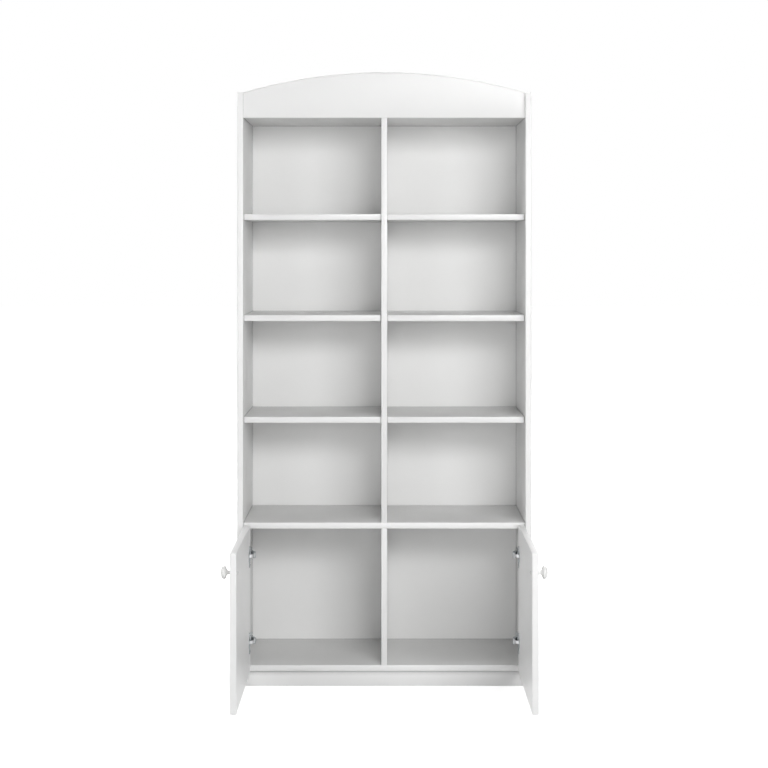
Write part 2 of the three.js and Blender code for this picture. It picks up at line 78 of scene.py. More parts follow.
studio = {
    "aim": (0, 0, 0.95),
    # bearing round from the camera's side and tilt in degrees, distance from the aim, disc width, power
    "lamps": {
        "frontFill": {"bearing": 0, "tilt": 0, "distance": 8, "size": 3, "power": 57},
        "leftFill": {"bearing": -35, "tilt": 1, "distance": 8, "size": 4.5, "power": 101},
        "highLeft": {"bearing": -85, "tilt": 38, "distance": 6, "size": 2.5, "power": 118},
        "highRight": {"bearing": 85, "tilt": 38, "distance": 6, "size": 2.5, "power": 69},
        "broadKey": {"bearing": 25, "tilt": 12, "distance": 5.5, "size": 2.4, "power": 45},
        "crispKey": {"bearing": 12, "tilt": 20, "distance": 5.5, "size": 1.2, "power": 48},
        "nearKey": {"bearing": 28, "tilt": 16, "distance": 4.0, "size": 1.4, "power": 22},
        "topKey": {"bearing": 8, "tilt": 22, "distance": 2.8, "size": 0.8, "power": 4.3},
        "rearKey": {"bearing": 158, "tilt": 40, "distance": 6, "size": 2.4, "power": 120},
        "rearFill": {"bearing": -145, "tilt": 30, "distance": 8, "size": 4, "power": 150},
    },
    "ambient": 0.02,
    "floorSize": 60,
    "floorShade": 0.6,
    "shadowDepth": 0.33,  # how much of the floor's white near the piece comes from the lamps
    "shadowReach": 1.1,
}


def makeLight(name, values):
    light = bpy.data.objects.new(name, bpy.data.lights.new(name, "AREA"))
    bpy.context.collection.objects.link(light)
    light.data.shape = "DISK"
    light.data.size = values["size"]
    light.data.energy = values["power"]
    light.visible_camera = False
    bearing, tilt = math.radians(values["bearing"]), math.radians(values["tilt"])
    flat = math.cos(tilt)
    away = Vector((math.sin(bearing) * flat, -math.cos(bearing) * flat, math.sin(tilt)))
    light.location = Vector(studio["aim"]) + away * values["distance"]
    light.rotation_euler = away.to_track_quat("Z", "Y").to_euler()


# Light Path factor: 1 for what the camera sees straight on, in a mirror or through glass.
def seenDirectly(nodes, links):
    path = nodes.new("ShaderNodeLightPath")
    most = path.outputs["Is Camera Ray"]
    for other in ("Is Glossy Ray", "Is Transmission Ray"):
        larger = nodes.new("ShaderNodeMath")
        larger.operation = "MAXIMUM"
        links.new(most, larger.inputs[0])
        links.new(path.outputs[other], larger.inputs[1])
        most = larger.outputs[0]
    return most


def makeWorld():
    world = bpy.data.worlds.new("studio")
    bpy.context.scene.world = world
    world.use_nodes = True
    nodes, links = world.node_tree.nodes, world.node_tree.links
    nodes.clear()
    room = nodes.new("ShaderNodeBackground")
    room.inputs["Color"].default_value = (1, 1, 1, 1)
    room.inputs["Strength"].default_value = studio["ambient"]
    white = nodes.new("ShaderNodeBackground")
    white.inputs["Color"].default_value = (1, 1, 1, 1)
    mix = nodes.new("ShaderNodeMixShader")
    out = nodes.new("ShaderNodeOutputWorld")
    links.new(seenDirectly(nodes, links), mix.inputs["Fac"])
    links.new(room.outputs[0], mix.inputs[1])
    links.new(white.outputs[0], mix.inputs[2])
    links.new(mix.outputs[0], out.inputs["Surface"])


def makeFloor():
    bm = bmesh.new()
    bmesh.ops.create_grid(bm, x_segments=1, y_segments=1, size=studio["floorSize"] / 2)
    mesh = bpy.data.meshes.new("floor")
    bm.to_mesh(mesh)
    bm.free()
    floor = bpy.data.objects.new("floor", mesh)
    bpy.context.collection.objects.link(floor)
    material = bpy.data.materials.new("paleFloor")
    material.use_nodes = True
    nodes, links = material.node_tree.nodes, material.node_tree.links
    nodes.clear()
    matt = nodes.new("ShaderNodeBsdfDiffuse")
    matt.inputs["Color"].default_value = (*[studio["floorShade"]] * 3, 1)
    spot = nodes.new("ShaderNodeTexCoord")
    length = nodes.new("ShaderNodeVectorMath")
    length.operation = "LENGTH"
    links.new(spot.outputs["Object"], length.inputs[0])
    # white less a soft dip round the piece, where the lamps' light makes it up again
    steps = (
        ("DIVIDE", studio["shadowReach"]), ("POWER", 2), ("MULTIPLY", -1), ("EXPONENT", 0),
        ("MULTIPLY", -studio["shadowDepth"]), ("ADD", 1),
    )
    level = length.outputs["Value"]
    for operation, value in steps:
        step = nodes.new("ShaderNodeMath")
        step.operation = operation
        step.inputs[1].default_value = value
        links.new(level, step.inputs[0])
        level = step.outputs[0]
    seen = nodes.new("ShaderNodeMath")
    seen.operation = "MULTIPLY"
    links.new(seenDirectly(nodes, links), seen.inputs[0])
    links.new(level, seen.inputs[1])
    white = nodes.new("ShaderNodeEmission")
    white.inputs["Color"].default_value = (1, 1, 1, 1)
    links.new(seen.outputs[0], white.inputs["Strength"])
    both = nodes.new("ShaderNodeAddShader")
    out = nodes.new("ShaderNodeOutputMaterial")
    links.new(matt.outputs[0], both.inputs[0])
    links.new(white.outputs[0], both.inputs[1])
    links.new(both.outputs[0], out.inputs["Surface"])
    mesh.materials.append(material)


makeCamera()
for lamp, values in studio["lamps"].items():
    makeLight(lamp, values)
makeWorld()
makeFloor()
bpy.context.scene.view_settings.view_transform = "Standard"
print("studio ready")


# materials
noiseSpan = (0.3, 0.7)  # most of a noise's values lie between these


def startMaterial(name, colour, roughness, metallic=0.0):
    material = bpy.data.materials.new(name)
    material.use_nodes = True
    shader = material.node_tree.nodes["Principled BSDF"]
    shader.inputs["Base Color"].default_value = (*colour, 1)
    shader.inputs["Roughness"].default_value = roughness
    shader.inputs["Metallic"].default_value = metallic
    return material


def patternNoise(material, scale, detail=3.0, stretch=(1, 1, 1), kind="ShaderNodeTexNoise"):
    nodes, links = material.node_tree.nodes, material.node_tree.links
    place = nodes.new("ShaderNodeTexCoord")
    mapping = nodes.new("ShaderNodeMapping")
    mapping.inputs["Scale"].default_value = stretch
    noise = nodes.new(kind)
    noise.inputs["Scale"].default_value = scale
    if "Detail" in noise.inputs:
        noise.inputs["Detail"].default_value = detail
    links.new(place.outputs["Object"], mapping.inputs["Vector"])
    links.new(mapping.outputs["Vector"], noise.inputs["Vector"])
    return noise


def addColours(material, source, stops):
    nodes, links = material.node_tree.nodes, material.node_tree.links
    ramp = nodes.new("ShaderNodeValToRGB")
    while len(ramp.color_ramp.elements) < len(stops):
        ramp.color_ramp.elements.new(0.5)
    for element, (position, colour) in zip(ramp.color_ramp.elements, stops):
        element.position = position
        element.color = (*colour, 1)
    links.new(source, ramp.inputs["Fac"])
    links.new(ramp.outputs["Color"], nodes["Principled BSDF"].inputs["Base Color"])


def addRoughness(material, source, low, high):
    nodes, links = material.node_tree.nodes, material.node_tree.links
    spread = nodes.new("ShaderNodeMapRange")
    spread.inputs["From Min"].default_value, spread.inputs["From Max"].default_value = noiseSpan
    spread.inputs["To Min"].default_value = low
    spread.inputs["To Max"].default_value = high
    links.new(source, spread.inputs["Value"])
    links.new(spread.outputs["Result"], nodes["Principled BSDF"].inputs["Roughness"])


def addBump(material, source, strength, distance):
    nodes, links = material.node_tree.nodes, material.node_tree.links
    bump = nodes.new("ShaderNodeBump")
    bump.inputs["Strength"].default_value = strength
    bump.inputs["Distance"].default_value = distance
    links.new(source, bump.inputs["Height"])
    links.new(bump.outputs["Normal"], nodes["Principled BSDF"].inputs["Normal"])


# painted shade in corners and crevices: how far the occlusion looks and how dark it paints
occlusionRange = {"open": 0.95, "closed": 0.4, "rays": 6}
paintedBoardShade = {"reach": 0.004, "shade": 0.62}
# painted shadow on the plinth under the bottom panel's overhang, faded out below a height so the floor
# contact stays light
paintedPlinthShade = {"reach": 0.018, "shade": 0.36, "above": 0.018, "full": 0.046}
paintedMetalShade = {"reach": 0.005, "shade": 0.12}


# Painted shade: darkens a colour in inner corners and joints, where pieces meet and little light reaches.
def addPaintedShade(material, values):
    nodes, links = material.node_tree.nodes, material.node_tree.links
    colour = nodes["Principled BSDF"].inputs["Base Color"]
    nearness = nodes.new("ShaderNodeAmbientOcclusion")
    nearness.samples = occlusionRange["rays"]
    nearness.inputs["Distance"].default_value = values["reach"]
    level = nodes.new("ShaderNodeMapRange")
    level.inputs["From Min"].default_value = occlusionRange["closed"]
    level.inputs["From Max"].default_value = occlusionRange["open"]
    level.inputs["To Min"].default_value = values["shade"]
    level.inputs["To Max"].default_value = 1
    links.new(nearness.outputs["AO"], level.inputs["Value"])
    factor = level.outputs["Result"]
    if "above" in values:  # fades in between two heights, from none to all of it
        place = nodes.new("ShaderNodeTexCoord")
        height = nodes.new("ShaderNodeSeparateXYZ")
        links.new(place.outputs["Object"], height.inputs["Vector"])
        fading = nodes.new("ShaderNodeMapRange")
        fading.inputs["From Min"].default_value = values["above"]
        fading.inputs["From Max"].default_value = values["full"]
        fading.inputs["To Min"].default_value = 1
        fading.inputs["To Max"].default_value = 0
        links.new(height.outputs["Z"], fading.inputs["Value"])
        lighter = nodes.new("ShaderNodeMath")
        lighter.operation = "MAXIMUM"
        links.new(factor, lighter.inputs[0])
        links.new(fading.outputs["Result"], lighter.inputs[1])
        factor = lighter.outputs[0]
    shaded = nodes.new("ShaderNodeVectorMath")
    shaded.operation = "SCALE"
    links.new(colour.links[0].from_socket, shaded.inputs[0])
    links.new(factor, shaded.inputs["Scale"])
    links.new(shaded.outputs["Vector"], colour)


laminateLook = {
    "cloudScale": 5.0, "cloudDetail": 2.0, "darkAt": 0.35, "paleAt": 0.65, "sheenScale": 70.0,
    "sheenDetail": 4.0, "smoother": 0.05, "rougher": 0.06, "grainDetail": 2.0, "grainStrength": 0.25,
}


# Smooth white sheet finish: faint clouding, uneven sheen and a fine pressed grain, with painted shade in its
# inner corners where given.
def laminate(name, pale, dark, roughness, grainScale, grainDepth, paintedShade=paintedBoardShade):
    look = laminateLook
    material = startMaterial(name, pale, roughness)
    clouding = patternNoise(material, look["cloudScale"], look["cloudDetail"])
    addColours(material, clouding.outputs["Fac"], [(look["darkAt"], dark), (look["paleAt"], pale)])
    sheen = patternNoise(material, look["sheenScale"], look["sheenDetail"])
    addRoughness(material, sheen.outputs["Fac"], roughness - look["smoother"], roughness + look["rougher"])
    grain = patternNoise(material, grainScale, look["grainDetail"])
    addBump(material, grain.outputs["Fac"], look["grainStrength"], grainDepth)
    # painted shade in the inner corners
    if paintedShade:
        addPaintedShade(material, paintedShade)
    return material


chipLook = {
    "colour": (0.55, 0.42, 0.28), "roughness": 0.85, "scale": 520.0, "strength": 0.8, "depth": 0.0004,
    "stops": [(0.1, (0.30, 0.20, 0.12)), (0.45, (0.56, 0.42, 0.27)), (0.8, (0.72, 0.58, 0.40))],
}


# The bare cut edge of chipboard.
def rawBoard(name):
    material = startMaterial(name, chipLook["colour"], chipLook["roughness"])
    chips = patternNoise(material, chipLook["scale"], kind="ShaderNodeTexVoronoi")
    addColours(material, chips.outputs["Color"], chipLook["stops"])
    addBump(material, chips.outputs["Distance"], chipLook["strength"], chipLook["depth"])
    return material


fibreLook = {
    "colour": (0.34, 0.22, 0.13), "roughness": 0.7, "scale": 160.0, "detail": 6.0, "stretch": (1, 1, 0.25),
    "stops": [(0.3, (0.26, 0.16, 0.09)), (0.55, (0.36, 0.235, 0.14)), (0.8, (0.46, 0.32, 0.20))],
    "strength": 0.5, "depth": 0.0002,
}


# The uncoated side of hardboard, with its long fibres.
def hardboard(name):
    material = startMaterial(name, fibreLook["colour"], fibreLook["roughness"])
    fibres = patternNoise(material, fibreLook["scale"], fibreLook["detail"], fibreLook["stretch"])
    addColours(material, fibres.outputs["Fac"], fibreLook["stops"])
    addBump(material, fibres.outputs["Fac"], fibreLook["strength"], fibreLook["depth"])
    return material


platedLook = {
    "hazeScale": 45.0, "markScale": 900.0, "detail": 2.0, "smoother": 0.06, "rougher": 0.10,
    "strength": 0.08, "depth": 0.00002,
}


# Plated steel with faint drawing marks and handling haze, and painted shade in its crevices.
def plated(name, pale, dark, roughness, stretch):
    look = platedLook
    material = startMaterial(name, pale, roughness, metallic=1.0)
    haze = patternNoise(material, look["hazeScale"], look["detail"])
    addColours(material, haze.outputs["Fac"], list(zip(noiseSpan, (dark, pale))))
    marks = patternNoise(material, look["markScale"], look["detail"], stretch)
    addRoughness(material, marks.outputs["Fac"], roughness - look["smoother"], roughness + look["rougher"])
    addBump(material, marks.outputs["Fac"], look["strength"], look["depth"])
    # painted shade in the crevices of the hinge metal
    addPaintedShade(material, paintedMetalShade)
    return material


whiteBoard = laminate("whiteMelamine", (0.80, 0.80, 0.795), (0.78, 0.78, 0.775), 0.42, 900.0, 0.00006)
whiteBand = laminate("whiteEdgeBand", (0.885, 0.885, 0.882), (0.87, 0.87, 0.867), 0.34, 1400.0, 0.00004)
# painted light: a lighter copy of the edge band, for the front edges of the side panels, cabinet top and
# bottom panel
litFrontBand = laminate("litWhiteFrontBand", (0.955, 0.955, 0.952), (0.94, 0.94, 0.937), 0.34, 1400.0, 0.00004)
# painted light: a lighter copy of the melamine for the pediment's face, left without painted corner shade
litPedimentFace = laminate("litPedimentFace", (0.87, 0.87, 0.867), (0.855, 0.855, 0.852), 0.34, 1400.0, 0.00004, None)
# painted light: a lighter copy of the melamine for the plinth, which also carries the painted shadow under
# the bottom panel
litPlinthFace = laminate(
    "litPlinthFace", (0.92, 0.92, 0.917), (0.905, 0.905, 0.902), 0.34, 1400.0, 0.00004, paintedPlinthShade,
)
whiteDoor = laminate("whiteDoorFoil", (0.955, 0.955, 0.952), (0.94, 0.94, 0.937), 0.33, 1100.0, 0.00005)
whiteBack = laminate("whiteHardboard", (0.86, 0.86, 0.855), (0.845, 0.845, 0.84), 0.55, 500.0, 0.00008)
whitePlastic = laminate("whiteCap", (0.86, 0.86, 0.85), (0.84, 0.84, 0.83), 0.38, 1600.0, 0.00003, None)
whiteKnob = laminate("whiteLacquer", (0.88, 0.88, 0.87), (0.865, 0.865, 0.855), 0.24, 700.0, 0.00003, None)
lacquer = {"Coat Weight": 0.4, "Coat Roughness": 0.12}
for socket, value in lacquer.items():
    whiteKnob.node_tree.nodes["Principled BSDF"].inputs[socket].default_value = value
chipboard = rawBoard("chipboardEdge")
brownBack = hardboard("hardboardRear")
nickel = plated("nickelPlate", (0.56, 0.59, 0.61), (0.50, 0.53, 0.55), 0.30, (1, 1, 0.12))
zinc = plated("zincPlate", (0.58, 0.59, 0.60), (0.52, 0.53, 0.545), 0.36, (1, 1, 1))
# the links' own zinc plating, partly painted light: made lighter than the other zinc to stand in for light on
# their faces
litLinkZinc = plated("linkPlate", (0.68, 0.69, 0.70), (0.62, 0.63, 0.64), 0.42, (1, 1, 1))
darkSlot = startMaterial("recessShade", (0.03, 0.03, 0.03), 0.6)
whiteEnamel = laminate(
    "whiteScrewEnamel", (0.86, 0.86, 0.855), (0.845, 0.845, 0.84), 0.3, 1500.0, 0.00003, None,
)
# painted shade: grey in the cross recess of the white enamelled knob bolt
paintedRecessGrey = startMaterial("enamelRecessPaintedShade", (0.35, 0.35, 0.35), 0.5)
print("materials ready")


# making pieces
sharpLimit = math.radians(60)
alongLimit = 0.99  # cosine from which an edge runs along a direction
alongAxis = [Vector((1, 0, 0)), Vector((0, 1, 0)), Vector((0, 0, 1))]
quarterX = Matrix.Rotation(math.pi / 2, 4, "X")


def block(bm, low, high):
    size = [b - a for a, b in zip(low, high)]
    centre = [(a + b) / 2 for a, b in zip(low, high)]
    matrix = Matrix.Translation(centre) @ Matrix.Diagonal((*size, 1))
    return bmesh.ops.create_cube(bm, size=1, matrix=matrix)["verts"]


def bevel(bm, edges, width, segments):
    return bmesh.ops.bevel(
        bm, geom=list(edges), offset=width, segments=segments, profile=0.5, affect="EDGES",
        material=-1, clamp_overlap=True,
    )


def sharpEdges(bm):
    return [e for e in bm.edges if e.is_manifold and e.calc_face_angle() > sharpLimit]


# Straight edges along a direction: all of them, or those whose middle passes the test.
def edgesAlong(bm, direction, test=None):
    found = []
    for edge in bm.edges:
        run = (edge.verts[1].co - edge.verts[0].co).normalized()
        middle = (edge.verts[0].co + edge.verts[1].co) / 2
        if abs(run.dot(direction)) > alongLimit and (test is None or test(middle)):
            found.append(edge)
    return found


# Turns an outline of radii and heights into a closed skin, round a line along Y at the given X.
def spinOutline(bm, outline, steps, centre=0):
    verts = [bm.verts.new((centre + radius, height, 0)) for radius, height in outline]
    edges = [bm.edges.new(pair) for pair in zip(verts, verts[1:])]
    bmesh.ops.spin(
        bm, geom=verts + edges, cent=(centre, 0, 0), axis=(0, 1, 0), angle=math.tau, steps=steps,
        use_merge=True,
    )
    bmesh.ops.remove_doubles(bm, verts=bm.verts, dist=welded)
    bmesh.ops.recalc_face_normals(bm, faces=bm.faces)


# A closed cylinder, or a cone where the far radius differs.
def cylinder(radius, depth, steps, matrix=Matrix.Identity(4), farRadius=None):
    bm = bmesh.new()
    bmesh.ops.create_cone(
        bm, cap_ends=True, segments=steps, radius1=radius, radius2=farRadius or radius, depth=depth,
        matrix=matrix,
    )
    return bm


# A flat outline pulled to a depth into a closed solid.
def extrudeOutline(bm, points, depth):
    face = bm.faces.new([bm.verts.new(p) for p in points])
    made = bmesh.ops.extrude_face_region(bm, geom=[face])["geom"]
    moved = [v for v in made if isinstance(v, bmesh.types.BMVert)]
    bmesh.ops.translate(bm, vec=depth, verts=moved)
    bmesh.ops.recalc_face_normals(bm, faces=bm.faces)


def looseObject(bm, materials):
    mesh = bpy.data.meshes.new("loose")
    bm.to_mesh(mesh)
    bm.free()
    for material in materials:
        mesh.materials.append(material)
    loose = bpy.data.objects.new("loose", mesh)
    bpy.context.collection.objects.link(loose)
    return loose


# Joins two closed shapes, or cuts the second out of the first.
def combine(bm, tool, operation, materials):
    base, other = looseObject(bm, materials), looseObject(tool, materials)
    modifier = base.modifiers.new("combine", "BOOLEAN")
    modifier.operation = operation
    modifier.solver = "EXACT"
    modifier.object = other
    result = bmesh.new()
    result.from_object(base, bpy.context.evaluated_depsgraph_get())
    for loose in (base, other):
        mesh = loose.data
        bpy.data.objects.remove(loose)
        bpy.data.meshes.remove(mesh)
    return result


# Places the shape, makes the piece from it and tells the frame what it is.
def finishPiece(name, bm, materials, body, replaced=(), place=None, angle=smoothLimit):
    if place is not None:
        bmesh.ops.transform(bm, matrix=place, verts=bm.verts)
        if place.determinant() < 0:
            bmesh.ops.reverse_faces(bm, faces=bm.faces)
    mesh = bpy.data.meshes.new(name)
    bm.to_mesh(mesh)
    bm.free()
    for material in materials:
        mesh.materials.append(material)
    mesh.shade_smooth()
    mesh.set_sharp_from_angle(angle=angle)
    piece = bpy.data.objects.new(name, mesh)
    bpy.context.collection.objects.link(piece)
    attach(piece, body)
    if replaced:
        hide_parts(*replaced)
    return piece


# Gives a piece's second or third material to the faces that pass the test, or to all.
def paint(bm, index, test=None):
    for face in bm.faces:
        if test is None or test(face):
            face.material_index = index


# carcass boards
boards = {
    "softEdge": 0.0007, "softSteps": 2, "shelfPlay": 0.0010, "frontRound": 0.005, "roundSteps": 10,
    "cornerReach": 0.001, "bandReach": 0.00505, "bandNarrow": 0.02, "bandTurn": 0.05, "rawTurn": 0.9,
}
boardMaterials = [whiteBoard, whiteBand, chipboard]
frontMaterials = [whiteBoard, litFrontBand, chipboard]
pedimentMaterials = [litPedimentFace, whiteBand, chipboard]
plinthMaterials = [litPlinthFace, whiteBand, chipboard]
bodyOfBoards = "carcass"
# sides of a board that have edge band or raw chipboard, each as an axis and a sign
frontBand = [(1, -1)]
rearRaw = [(1, 1)]
lowerRearRaw = [(2, -1), (1, 1)]


# Edge bands on the given sides, and bare chipboard on the others named.
def paintEdges(bm, low, high, bandSides, rawSides):
    for axis, sign in bandSides:
        plane = (high if sign > 0 else low)[axis]

        def inBand(face):
            near = abs(face.calc_center_median()[axis] - plane) < boards["bandReach"]
            narrow = face.calc_area() < face.calc_perimeter() * boards["bandNarrow"]
            return near and narrow and face.normal[axis] * sign > boards["bandTurn"]

        paint(bm, 1, inBand)
    for axis, sign in rawSides:
        paint(bm, 2, lambda f: f.normal[axis] * sign > boards["rawTurn"])


def makeBoard(node, bandSides, rawSides, materials=boardMaterials, play=0):
    low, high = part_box(node)
    high[0] -= play
    bm = bmesh.new()
    block(bm, low, high)
    bevel(bm, sharpEdges(bm), boards["softEdge"], boards["softSteps"])
    paintEdges(bm, low, high, bandSides, rawSides)
    return finishPiece(node + "_board", bm, materials, bodyOfBoards, [node])


def makeSidePanel(word, side):
    node = "side_panel_" + word
    low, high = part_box(node)
    outerX = low[0] if side < 0 else high[0]
    bm = bmesh.new()
    block(bm, low, high)
    reach = boards["cornerReach"]
    onOuterFront = lambda p: abs(p.x - outerX) < reach and abs(p.y - low[1]) < reach
    bevel(bm, edgesAlong(bm, alongAxis[2], onOuterFront), boards["frontRound"], boards["roundSteps"])
    bevel(bm, sharpEdges(bm), boards["softEdge"], boards["softSteps"])
    paintEdges(bm, low, high, frontBand, lowerRearRaw)
    finishPiece(node + "_board", bm, frontMaterials, bodyOfBoards, [node])


pediment = {"arcSteps": 72, "endReach": 0.0005, "faceReach": 0.0001, "topTurn": 0.5}


def makePediment():
    node = "pediment"
    low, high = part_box(node)
    halfWidth = high[0]
    endTop = max(
        v.co.z for v in frame["nodes"][node].data.vertices if abs(v.co.x - high[0]) < pediment["endReach"]
    )
    rise = high[2] - endTop
    radius = (halfWidth ** 2 + rise ** 2) / (2 * rise)
    sweep = 2 * math.asin(halfWidth / radius)
    bm = bmesh.new()
    start = bm.verts.new((-halfWidth, low[1], endTop))
    bmesh.ops.spin(
        bm, geom=[start], cent=(0, low[1], high[2] - radius), axis=(0, 1, 0), angle=sweep,
        steps=pediment["arcSteps"],
    )
    made = bmesh.ops.extrude_edge_only(bm, edges=bm.edges)["geom"]
    for vert in (v for v in made if isinstance(v, bmesh.types.BMVert)):
        vert.co.z = low[2]
    deep = bmesh.ops.extrude_face_region(bm, geom=list(bm.faces))["geom"]
    bmesh.ops.translate(
        bm, vec=(0, high[1] - low[1], 0), verts=[v for v in deep if isinstance(v, bmesh.types.BMVert)],
    )
    bmesh.ops.remove_doubles(bm, verts=bm.verts, dist=welded)
    bmesh.ops.recalc_face_normals(bm, faces=bm.faces)
    front, foot = low[1] + pediment["faceReach"], low[2] + pediment["faceReach"]
    upper = [
        e for e in sharpEdges(bm)
        if all(v.co.y < front and v.co.z > foot for v in e.verts)
        and abs(e.verts[0].co.x - e.verts[1].co.x) > touching
    ]
    bevel(bm, upper, boards["frontRound"], boards["roundSteps"])
    lower = [e for e in sharpEdges(bm) if all(v.co.z < foot for v in e.verts)]
    bevel(bm, lower, boards["softEdge"], boards["softSteps"])
    paint(bm, 1, lambda f: f.normal.z > pediment["topTurn"])
    finishPiece("pediment_board", bm, pedimentMaterials, bodyOfBoards, [node])


backs = {
    "nailPitch": 0.15, "nailInset": 0.007, "nailRadius": 0.0014, "nailRise": 0.00012, "nailSteps": 10,
    "softEdge": 0.0002, "softSteps": 1, "whiteTurn": -0.5,
}


def makeBack(word):
    node = "back_panel_" + word
    low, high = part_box(node)
    high[1] -= backs["nailRise"]
    bm = bmesh.new()
    block(bm, low, high)
    bevel(bm, sharpEdges(bm), backs["softEdge"], backs["softSteps"])
    paint(bm, 1, lambda f: f.normal.y > backs["whiteTurn"])
    finishPiece(node + "_sheet", bm, [whiteBack, brownBack], bodyOfBoards, [node])

    nails = bmesh.new()
    inset = backs["nailInset"]
    x0, x1, z0, z1 = low[0] + inset, high[0] - inset, low[2] + inset, high[2] - inset
    places = []
    for a, b, fixed in ((z0, z1, x0), (z0, z1, x1)):
        count = round((b - a) / backs["nailPitch"])
        places += [(fixed, a + (b - a) * i / count) for i in range(count + 1)]
    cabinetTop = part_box("cabinet_top")
    for z in (z0, (cabinetTop[0][2] + cabinetTop[1][2]) / 2, z1):
        count = round((x1 - x0) / backs["nailPitch"])
        places += [(x0 + (x1 - x0) * i / count, z) for i in range(1, count)]
    for x, z in places:
        disc = bmesh.ops.create_circle(
            nails, cap_ends=True, radius=backs["nailRadius"], segments=backs["nailSteps"],
            matrix=Matrix.Translation((x, high[1], z)) @ Matrix.Rotation(-math.pi / 2, 4, "X"),
        )["verts"]
        faces = list({f for v in disc for f in v.link_faces})
        made = bmesh.ops.extrude_face_region(nails, geom=faces)["geom"]
        top = [v for v in made if isinstance(v, bmesh.types.BMVert)]
        bmesh.ops.translate(nails, vec=(0, backs["nailRise"], 0), verts=top)
    bmesh.ops.recalc_face_normals(nails, faces=nails.faces)
    finishPiece(f"back_nails_{word}", nails, [zinc], bodyOfBoards)


shelfRows = (1, 2, 3)
for word, side in sides:
    makeSidePanel(word, side)
    makeBack(word)
    for row in shelfRows:
        makeBoard(f"shelf_{word}_{row}", frontBand, rearRaw, play=boards["shelfPlay"])
for node in ("cabinet_top", "bottom_panel"):
    makeBoard(node, frontBand, rearRaw, frontMaterials)
for node in ("upper_divider", "lower_divider", "top_panel"):
    makeBoard(node, frontBand, rearRaw)
makeBoard("plinth", [], lowerRearRaw, plinthMaterials)
makeBoard("plinth_support", [], lowerRearRaw)
makePediment()
print("carcass ready")

# doors, built closed from their turning axis: X into the cabinet, Y to the back
jointPlace = {joint["name"]: Vector(joint["pos_m"]) for joint in frame["record"]["behaviour"]["joints"]}
openTurn = Matrix.Rotation(math.radians(-90), 4, "Z")


# A placement worked out for the left, mirrored where it is for the right.
def sidePlace(side, matrix):
    return matrix if side < 0 else mirrorX @ matrix


def hingeLevel(word, level):
    low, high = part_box(f"{word}_{level}_hinge_arm")
    return (low[2] + high[2]) / 2


leftAxis = jointPlace["door_left_swing"]
leftPin = jointPlace["left_links_turn"]
axisPlace = Matrix.Translation((leftAxis.x, leftAxis.y, 0))

door = {
    "edge": -0.003,  # hinge edge, from the turning axis
    "front": -0.002,
    "thick": 0.018,
    "round": 0.005,
    "roundSteps": 10,
    "cornerRound": 0.0012,
    "cornerSteps": 4,
    "rearEdge": 0.0006,
    "rearSteps": 2,
    "cupCentre": 0.0195,
    "cupBore": 0.0175,
    "cupDepth": 0.0118,
    "cupSteps": 64,
    "screwBore": 0.0023,
    "screwSteps": 24,
}
doorRear = door["front"] + door["thick"]
levels = ("upper", "lower")


def makeDoor(word, side):
    node = "door_" + word
    low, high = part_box(node)  # stored open, so its width runs along Y
    length = high[1] - low[1]
    front, rear = door["front"], doorRear
    bm = bmesh.new()
    block(bm, (door["edge"], front, low[2]), (door["edge"] + length, rear, high[2]))
    bevel(bm, edgesAlong(bm, alongAxis[1]), door["cornerRound"], door["cornerSteps"])
    onFront = [e for e in sharpEdges(bm) if all(abs(v.co.y - front) < touching for v in e.verts)]
    bevel(bm, onFront, door["round"], door["roundSteps"])
    onRear = [e for e in sharpEdges(bm) if all(abs(v.co.y - rear) < touching for v in e.verts)]
    bevel(bm, onRear, door["rearEdge"], door["rearSteps"])
    bores = []
    for level in levels:
        place = Matrix.Translation((door["cupCentre"], rear, hingeLevel(word, level)))
        bores.append(cylinder(door["cupBore"], door["cupDepth"] * 2, door["cupSteps"], place @ quarterX))
    knobLow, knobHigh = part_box("knob_" + word)
    reach = -(knobLow[1] + knobHigh[1]) / 2 + leftAxis.y
    height = (knobLow[2] + knobHigh[2]) / 2
    place = Matrix.Translation((reach, (front + rear) / 2, height))
    bores.append(cylinder(door["screwBore"], door["thick"] * 2, door["screwSteps"], place @ quarterX))
    materials = [whiteDoor, chipboard]
    for bore in bores:
        paint(bore, 1)
        bm = combine(bm, bore, "DIFFERENCE", materials)
    finishPiece(
        f"door_leaf_{word}", bm, materials, node, [node], sidePlace(side, axisPlace @ openTurn),
    )
    return reach, height


knob = {
    # radius and height of the turned outline, from the foot on the door to the crown
    "outline": [
        (0.0, 0.0004), (0.0064, 0.0004), (0.0070, 0.0009), (0.0068, 0.0018), (0.0054, 0.0040),
        (0.0048, 0.0065), (0.0052, 0.0090), (0.0068, 0.0112), (0.0105, 0.0130), (0.0150, 0.0143),
        (0.0175, 0.0158), (0.0184, 0.0177), (0.0185, 0.0197), (0.0179, 0.0222), (0.0160, 0.0250),
        (0.0118, 0.0275), (0.0065, 0.0287), (0.0, 0.0290),
    ],
    "steps": 48,
    "smooth": math.radians(75),
}


def makeKnob(word, side, reach, height):
    bm = bmesh.new()
    spinOutline(bm, [(radius, -rise) for radius, rise in knob["outline"]], knob["steps"])
    place = axisPlace @ openTurn @ Matrix.Translation((reach, door["front"], height))
    piece = finishPiece(
        f"turned_knob_{word}", bm, [whiteKnob], "door_" + word, ["knob_" + word],
        sidePlace(side, place), knob["smooth"],
    )
    smooth = piece.modifiers.new("smooth", "SUBSURF")
    smooth.levels = smooth.render_levels = 1


# screws, built along +Y out of the face that they are driven into
screwHead = {
    # shares of the head's radius and rise, from its underside to its crown
    "shares": [(0.97, 0), (1, 0.2), (0.93, 0.58), (0.68, 0.88), (0.35, 1), (0, 1)],
    "steps": 32,
    "recessTurns": (45, 135),
    "recessFloorShare": 0.45,
    "recessTopShare": 1.5,
    "recessWidthShare": 0.2,
}


